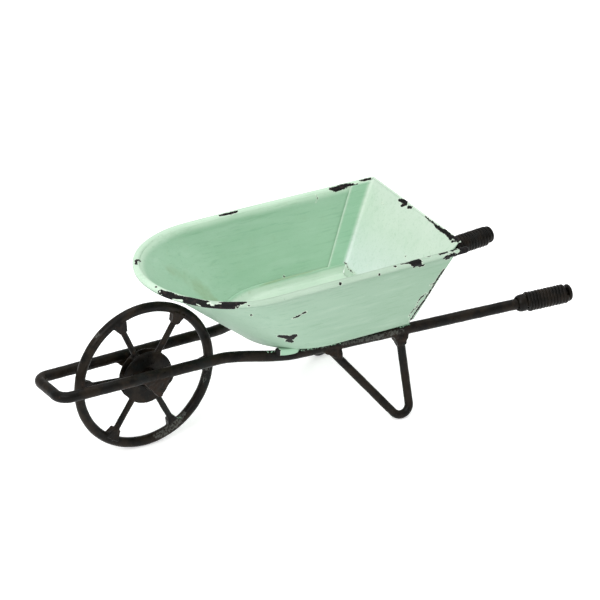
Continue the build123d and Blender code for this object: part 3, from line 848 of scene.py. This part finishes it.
# sides that face away from the camera
CHIPS_HIDDEN = [
    [(30, 41, 70, 0.5), (33, 41, 71, 0.9), (35.5, 41, 70.5, 0.4)],
    [(5, 44, 82, 0), (9, 44, 83, 0.2)],
    [(-8, 38.5, 60, 0.3), (-6, 38, 59, 0.7)],
    [(9, 51, 96.5, 0.6), (14, 51, 96.5, 1.0), (18, 51, 97, 0.4)],
    [(-52, 48, 97, 0.4), (-48.5, 49, 97, 0.8)],
]
# on the rear plane, as (y, z, radius)
CHIPS_HIDDEN_REAR = [
    [(-12, 76, 0.5), (-9, 77, 0.8), (-6, 77, 0.2)],
    [(18, 62, 0.6), (20.5, 61, 0.2)],
    [(25, 91, 0.2), (29, 91.5, 0.7)],
]
# dirt along the edge of the floor's lip
LIP_LINE = [
    [(-7, 33.5, 55.5, 0.1), (5.5, 35.5, 57, 0.1), (17.5, 36, 57.5, 0.1), (44, 36.5, 57.5, 0.1)],
]


def srgb(red, green, blue):
    """Linear colour from 0-255 screen values."""
    c = np.array([red, green, blue]) / 255.0
    return np.where(c <= 0.04045, c / 12.92, ((c + 0.055) / 1.055) ** 2.4)


def mix_colors(a, b, t):
    """One colour per point, from a where t is 0 to b where t is 1."""
    t = np.asarray(t)[..., None]
    return a * (1 - t) + b * t


# screen colours of the enamel, corrected for the studio light by the factors
OUTSIDE_FRONT = srgb(165, 200, 176) * (0.79, 0.76, 0.76)
OUTSIDE_REAR = srgb(158, 192, 166) * (0.77, 0.76, 0.76)
INSIDE = srgb(149, 196, 160) * (1.12, 0.98, 1.09)
# painted highlight: the pale colour laid on the lit top of the rolled rim and along the flanges' front
# edges
RIM_HIGHLIGHT = srgb(200, 226, 203) * 0.86
FLOOR = srgb(190, 224, 199) * (1.09, 0.93, 1.00)
PANEL = srgb(205, 228, 211) * (1.10, 0.97, 1.07)
enamel = enamel_material("mint_enamel")


def enamel_object(name, points, faces, node, tint, chip, speckle=0.0, grime_and_lip_shade=0.0):
    """One enamelled piece of the tray, with the tint, painted light and shade, and the wear that its
    material reads.
    """
    count = len(points)
    attributes = {
        "tint": tint,
        "chip": chip,
        "flake": marks(points, FLAKES, -1.0),
        "speckle": np.full(count, -1.0) + speckle,
        "grime_and_lip_shade": np.zeros(count) + grime_and_lip_shade,
    }
    piece = make_object(name, points, faces, attributes)
    piece.data.materials.append(enamel)
    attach(piece, "frame")
    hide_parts(node)
    return piece


def outside_tint(points):
    """The outside is darker towards the rear."""
    return mix_colors(OUTSIDE_FRONT, OUTSIDE_REAR, ease(points[:, 0], -60, 70))


def rim_highlight_shaded_left(points):
    """Painted highlight on the rim: palest on the right side and at the nose, with painted shade on the
    left side.
    """
    return mix_colors(RIM_HIGHLIGHT * 1.10, RIM_HIGHLIGHT * 0.80, ease(-points[:, 1], 8, 40))


# wall and rolled rim
wall_mm = wobble(hand_made(wall_points))
roll_mm = wobble(hand_made(roll_points, BEAD_REAR_PULL))
# painted highlight: the inner wall pales into the rim highlight over its top few millimetres
rim_highlight_band = ease(wall_points[:, 2], RIM_Z - 3.2, RIM_Z + 0.5)
inside_tint = mix_colors(INSIDE, rim_highlight_shaded_left(wall_mm), rim_highlight_band)
wall_tint = np.where(wall_is_inner[:, None], inside_tint, outside_tint(wall_mm))
ring_radius = np.pad(roll_radius, DOME_RINGS, "edge")
roll_height = (roll_points[:, 2] - TOP_Z + np.repeat(ring_radius, ROLL_SIDES)) / ROLL
# painted light on the roll: its top takes the rim highlight, its underside the outside colour darkened by
# painted shade
roll_lit_and_shaded_tint = mix_colors(
    outside_tint(roll_mm) * 0.84, rim_highlight_shaded_left(roll_mm), ease(roll_height, -0.55, 0.4)
)
wall_chip = np.where(
    wall_is_inner,
    marks(wall_mm, CHIPS_INSIDE + CHIPS_RIM),
    marks(wall_mm, CHIPS_OUTSIDE + CHIPS_RIM + CORNER_LINE + CHIPS_HIDDEN),
)
wall_speckle = 0.96 + 0.08 * ease(wall_points[:, 2], RIM_Z - 8, RIM_Z)
GRIME_RADIUS = 13.0
NOSE_GRIME = [[(-62, 34, 80, 11), (-48, 34, 68, GRIME_RADIUS), (-34, 20, 60, 11)]]
nose_grime = marks(wall_mm, NOSE_GRIME, -GRIME_RADIUS) / GRIME_RADIUS
wall_grime = np.where(wall_is_inner, np.clip(nose_grime * 1.5, 0.27, 0.78), 0.1)
roll_count = len(roll_mm)
enamel_object(
    "tray_shell",
    *join((wall_mm, wall_faces), (roll_mm, roll_faces)),
    "tray_wall",
    np.concatenate([wall_tint, roll_lit_and_shaded_tint]),
    np.concatenate([wall_chip, marks(roll_mm, CHIPS_RIM + CHIPS_HIDDEN)]),
    speckle=np.concatenate([wall_speckle, np.full(roll_count, 1.08)]),
    grime_and_lip_shade=np.concatenate([wall_grime, np.full(roll_count, 0.15)]),
)

# floor
floor_mm = wobble(hand_made(floor_points))
# the floor turns to the wall colour up its lip, partly the real colour boundary and partly painted shade
# that tones down the lip's highlight
floor_tint = mix_colors(
    FLOOR, INSIDE, ease(floor_points[:, 2], FLOOR_LIP_Z - 2.2, FLOOR_LIP_Z - 0.4)
)
# painted shade darkens the top of the lip; the dirt line along its edge is added to it
floor_lip_shade_and_dirt = 0.35 * ease(floor_points[:, 2], FLOOR_LIP_Z - 1.2, FLOOR_LIP_Z - 0.2)
floor_lip_shade_and_dirt += np.clip(1 + marks(floor_mm, LIP_LINE), 0, 1) * 0.9
enamel_object(
    "tray_pan",
    floor_mm,
    floor_faces,
    "tray_floor",
    floor_tint,
    marks(floor_mm, CHIPS_FLOOR + CRACK),
    grime_and_lip_shade=floor_lip_shade_and_dirt,
)

# rear panel
panel_mm = wobble(panel_hand_made(panel_all))
panel_z = panel_all[:, 2]
before_panel = rear_plane_x(panel_z, 0) - panel_all[:, 0]
flange_width = PANEL_FLANGE + FLANGE_FLARE * np.clip(blend(0, 1, panel_z), 0, 1)
# painted shade: below the floor's lip the panel takes the floor colour, darkened
crevice_shade = ease(-panel_z, -FLOOR_LIP_Z + 0.6, -FLOOR_LIP_Z + 2.4)
outer_face = np.arange(len(panel_mm)) < PANEL_ROWS * panel_columns
panel_tint = mix_colors(
    PANEL * (1.03, 1.02, 1.05), PANEL * (0.92, 0.97, 0.89), ease(panel_z, BASE_Z + 5, TOP_Z - 12)
)
panel_tint = mix_colors(panel_tint, INSIDE * (1.0, 1.04, 1.03), ease(before_panel, 1.9, 3.0))
# painted highlight: a pale line along each flange's front edge
panel_tint = mix_colors(panel_tint, RIM_HIGHLIGHT, ease(before_panel - flange_width, -0.6, 0))
panel_tint = np.where(outer_face[:, None], OUTSIDE_REAR, panel_tint)
panel_tint = mix_colors(panel_tint, FLOOR * 0.9, crevice_shade)
rear_chips = [[(rear_plane_x(z, 0) + 0.3, y, z, r) for y, z, r in c] for c in CHIPS_HIDDEN_REAR]
enamel_object(
    "tray_back",
    panel_mm,
    panel_all_faces,
    "tray_rear_panel",
    panel_tint,
    marks(panel_mm, CHIPS_PANEL + CRACK + rear_chips),
)


# ------------------------------------------------------------------ forged iron
WELD_REACH = 1.6  # weld texture fades out this far from a weld's CAD surface


def fused(nodes, voxel):
    """Points (mm), unit normals and faces of CAD nodes melted into one soft-edged solid."""
    source = bpy.data.meshes.new("fuse_source")
    work = bmesh.new()
    for node in nodes:
        work.from_mesh(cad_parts[node].data)
    bmesh.ops.remove_doubles(work, verts=work.verts, dist=1e-7)
    work.to_mesh(source)
    work.free()
    block = bpy.data.objects.new("fuse_block", source)
    bpy.context.scene.collection.objects.link(block)
    remesh = block.modifiers.new("fuse", "REMESH")
    remesh.mode = "VOXEL"
    remesh.voxel_size = voxel * MM
    soften = block.modifiers.new("soften", "SMOOTH")
    soften.factor, soften.iterations = 0.5, 6
    mesh = bpy.data.meshes.new_from_object(
        block.evaluated_get(bpy.context.evaluated_depsgraph_get())
    )
    bpy.data.objects.remove(block)
    points = np.zeros(len(mesh.vertices) * 3)
    mesh.vertices.foreach_get("co", points)
    normals = np.zeros(len(mesh.vertices) * 3)
    mesh.vertices.foreach_get("normal", normals)
    faces = [tuple(p.vertices) for p in mesh.polygons]
    bpy.data.meshes.remove(mesh)
    return points.reshape(-1, 3) / MM, normals.reshape(-1, 3), faces


def nearness(points, nodes):
    """1 on the surface of any of the CAD nodes, falling to 0 at WELD_REACH from it."""
    share = np.zeros(len(points))
    for node in nodes:
        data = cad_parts[node].data
        corners = [v.co for v in data.vertices]
        tree = BVHTree.FromPolygons(corners, [p.vertices[:] for p in data.polygons])
        for i, p in enumerate(points):
            distance = tree.find_nearest(Vector(p) * MM, WELD_REACH * MM)[3]
            if distance is not None:
                share[i] = max(share[i], 1 - distance / (WELD_REACH * MM))
    return share


def forge(
    name, nodes, material, voxel, hammer, body="frame", welds=(), lump=0.0, weld_rust=0.5, wear=None
):
    """One forged piece: CAD solids fused, with hammer marks, lumpy welds and wear strokes."""
    points, normals, faces = fused(nodes, voxel)
    weld_share = nearness(points, welds)
    push = -hammer * (0.5 + 0.5 * fractal(points, 5.0, 2, 7.0))
    if welds:
        push += weld_share * lump * (fractal(points, 2.4, 2, 31.0) - 0.1)
    points = points + normals * push[:, None]
    wear = wear or {}
    rust = weld_share * weld_rust + marks(points, wear.get("rust", []), 0.0)
    attributes = {
        "rust": np.clip(rust, 0, 1),
        "scuff": np.clip(marks(points, wear.get("scuff", []), -1.0), -1, 1),
        "paint": np.clip(marks(points, wear.get("paint", []), -1.0), -1, 1),
    }
    piece = make_object(name, points, faces, attributes)
    piece.data.materials.append(material)
    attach(piece, body)
    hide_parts(*nodes)
    return piece


iron = iron_material("frame_iron_look")
wheel_iron = iron_material("wheel_iron_look", 1.05, 0.6)
grip_iron = iron_material("grip_iron_look", 0.9, 0.4)

FRAME_WELDS = ["axle_lug_left", "axle_lug_right"]
FRAME_WELDS += [f"leg_weld_{end}_{side}" for end in ("front", "rear") for side in ("left", "right")]
FRAME_WEAR = {
    "scuff": [
        [(12.5, -31, 48, 1.6), (27, -32.5, 47.5, 2.2), (39, -34, 47.5, 2.2), (50.5, -34.5, 48, 1.6)],
        [(-9.5, -28.5, 48, 1.1), (6.5, -30.5, 48, 1.1)],
    ],
    "paint": [
        [(48, -33, 50, 1.1), (54.5, -33, 50, 1.4)],
        [(-27, -22, 49.5, 1.1), (-9.5, -28, 48.5, 0.9), (12.5, -31, 48.5, 0.9)],
        [(-10, 28, 49, 1.1), (30, 32.5, 48.5, 0.9)],
    ],
    "rust": [[(-111, -18, 43, 6)], [(-111, 18, 43, 6)]],
}
WHEEL_WEAR = {
    "scuff": [
        [(-68, -1, 13.5, 2.2), (-73.5, -3.5, 9.5, 2.7), (-79.5, -2.5, 6, 2.7), (-85.5, -2.5, 5, 2.2)],
        [(-121, -0.5, 72.5, 1.6), (-119, -1, 74.5, 1.4)],
        [(-54.5, -3.5, 38.5, 1.6), (-55.5, -2, 30.5, 1.6)],
        [(-140, 2, 30, 2), (-144, 2, 40, 1.4)],
    ],
    "paint": [[(-74, -1, 14, 1.2), (-70, -1.5, 11.5, 0.9)]],
}
forge(
    "iron_frame",
    ["frame_rod", "axle", "leg_left", "leg_right"] + FRAME_WELDS,
    iron,
    voxel=0.45,
    hammer=0.18,
    welds=FRAME_WELDS,
    lump=0.4,
    wear=FRAME_WEAR,
)
WHEEL_WELDS = ["rim_welds", "hub_welds"]
SPOKES = [n for n in sorted(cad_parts) if n.startswith("spoke_")]
forge(
    "iron_wheel",
    ["wheel_rim", "hub_disc_left", "hub_disc_right", "hub_welds", "rim_welds"] + SPOKES,
    wheel_iron,
    voxel=0.36,
    hammer=0.14,
    body="wheel",
    welds=WHEEL_WELDS,
    lump=0.2,
    weld_rust=0.25,
    wear=WHEEL_WEAR,
)
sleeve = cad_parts["hub_sleeve"].data
sleeve.materials.clear()
sleeve.materials.append(wheel_iron)
for polygon in sleeve.polygons:
    polygon.material_index = 0

# the painted weld lumps sit further forward and higher than the CAD ones, as the tray does;
# iron shows at the front edge of the left ones
LUMP_SHIFT = (-1.8, 0, 0.8)
LUMP_BARE = 1.6
lumps = forge("tray_weld_lumps", ["tray_welds"], enamel, voxel=0.3, hammer=0.1).data
lumps.transform(Matrix.Translation(Vector(LUMP_SHIFT) * MM))
lump_x, lump_y = np.array([v.co[:2] for v in lumps.vertices]).T / MM
lump_chip = np.where(lump_y < 0, lump_x.min() + LUMP_BARE - lump_x, -4.0)
for key, value in (("chip", lump_chip), ("flake", -1.0), ("speckle", -1.0), ("grime_and_lip_shade", 0.0)):
    layer = lumps.attributes.new(key, "FLOAT", "POINT")
    layer.data.foreach_set("value", np.broadcast_to(value, len(lump_x)).astype(np.float32))
layer = lumps.attributes.new("tint", "FLOAT_COLOR", "POINT")
layer.data.foreach_set("color", np.tile([*(INSIDE * 0.9), 1.0], len(lump_x)).astype(np.float32))

# ------------------------------------------------------------------ grips: real wound coils
COIL_TURNS = 12
COIL_STEPS = 44  # points per turn
COIL_WIRE = 1.09  # wire radius
COIL_LENGTH = 25.44
COIL_RADIUS = 5.5  # outer radius of the winding
COIL_START = 0.25  # extra radius where the winding begins
COIL_UNEVEN = 0.05
SWELL = 1.12  # collars and caps are this much thicker than the CAD


def unit(vector):
    """The vector scaled to length 1."""
    return vector / np.linalg.norm(vector)


def grip(side):
    """One grip: a wound coil between a forged collar and a forged cap."""
    middle, collar, cap = (
        sum(box_mm(f"grip_{part}_{side}")) / 2 for part in ("coil", "collar", "cap")
    )
    direction = unit(cap - collar)
    first = unit(np.cross(direction, [0, 0, 1.0]))
    second = np.cross(first, direction)
    turn = np.linspace(0, COIL_TURNS, COIL_TURNS * COIL_STEPS + 1)
    radius = COIL_RADIUS + COIL_START * np.clip(1 - turn, 0, 1) - COIL_WIRE
    radius += COIL_UNEVEN * (np.sin(turn * 2.1) - 1)
    advance = COIL_WIRE + (COIL_LENGTH - 2 * COIL_WIRE) * turn / COIL_TURNS - COIL_LENGTH / 2
    angle = turn * 2 * math.pi * (1 if side == "left" else -1)
    path = (
        middle
        + direction * advance[:, None]
        + first * (radius * np.cos(angle))[:, None]
        + second * (radius * np.sin(angle))[:, None]
    )
    points, faces = tube(path, COIL_WIRE, 14)
    clean = np.full(len(points), -1.0)
    wear = {"rust": np.zeros(len(points)), "scuff": clean, "paint": clean}
    coil = make_object(f"grip_winding_{side}", points, faces, wear)
    coil.data.materials.append(grip_iron)
    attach(coil, "frame")
    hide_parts(f"grip_coil_{side}")
    swell = Matrix.Scale(SWELL, 4, Vector(first)) @ Matrix.Scale(SWELL, 4, Vector(second))
    for part, centre in (("collar", collar), ("cap", cap)):
        node = f"grip_{part}_{side}"
        piece = forge(node + "_iron", [node], grip_iron, voxel=0.25, hammer=0.12)
        place = Matrix.Translation(Vector(centre) * MM)
        piece.data.transform(place @ swell @ place.inverted())


grip("left")
grip("right")

CORE_RADIUS = 1.1
core_points, core_faces = tube(roll_path[2:-2], CORE_RADIUS, 12)
core = make_object("rim_core", wobble(hand_made(core_points, BEAD_REAR_PULL)), core_faces)
core.data.materials.append(iron)
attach(core, "frame")
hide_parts("rim_wire")

# ------------------------------------------------------------------ studio (metres)
AZIMUTH, ELEVATION = math.radians(30.27), math.radians(26.79)
DISTANCE = 4.0
LENS = 444
AIM = (0.00595, 0, 0.0622)
HALF_PIXEL = 0.5 / 600
level = Vector((-math.sin(AZIMUTH), -math.cos(AZIMUTH), 0))
back = level * math.cos(ELEVATION) + Vector((0, 0, math.sin(ELEVATION)))
camera_data = bpy.data.cameras.new("camera")
camera = bpy.data.objects.new("camera", camera_data)
bpy.context.scene.collection.objects.link(camera)
camera.location = Vector(AIM) + back * DISTANCE
camera.rotation_euler = (-back).to_track_quat("-Z", "Y").to_euler()
camera_data.lens, camera_data.sensor_width, camera_data.clip_end = LENS, 36, 50
camera_data.shift_x, camera_data.shift_y = -HALF_PIXEL, HALF_PIXEL
bpy.context.scene.camera = camera
bpy.context.scene.view_settings.view_transform = "Standard"


def area_light(name, place, size, power):
    """Square softbox aimed at the middle of the object."""
    data = bpy.data.lights.new(name, "AREA")
    data.size, data.energy = size, power
    lamp = bpy.data.objects.new(name, data)
    bpy.context.scene.collection.objects.link(lamp)
    lamp.location = place
    lamp.rotation_euler = (Vector((0, 0, 0.05)) - lamp.location).to_track_quat("-Z", "Y").to_euler()


area_light("key", (-1.2, -0.9, 1.5), 1.2, 20)
area_light("top", (0.2, 0.2, 2.0), 1.6, 12)

FLOOR_HALF = 3000  # mm
corners = [(-1, -1, 0), (1, -1, 0), (1, 1, 0), (-1, 1, 0)]
studio_floor = make_object("studio_floor", np.array(corners) * FLOOR_HALF, [(0, 1, 2, 3)])
studio = Nodes("studio_floor")
studio.surface.inputs["Emission Color"].default_value = (1, 1, 1, 1)
studio.surface.inputs["Emission Strength"].default_value = 0.45
pale = studio.mix(studio.noise(60, 2), (0.88, 0.88, 0.88), (0.92, 0.92, 0.92))
studio_floor.data.materials.append(studio.finish(pale, 0.9, studio.bump(0.5, 0.1)))
world = bpy.data.worlds.new("studio")
bpy.context.scene.world = world
world.use_nodes = True
world.node_tree.nodes["Background"].inputs[0].default_value = (1, 1, 1, 1)
world.node_tree.nodes["Background"].inputs[1].default_value = 0.75
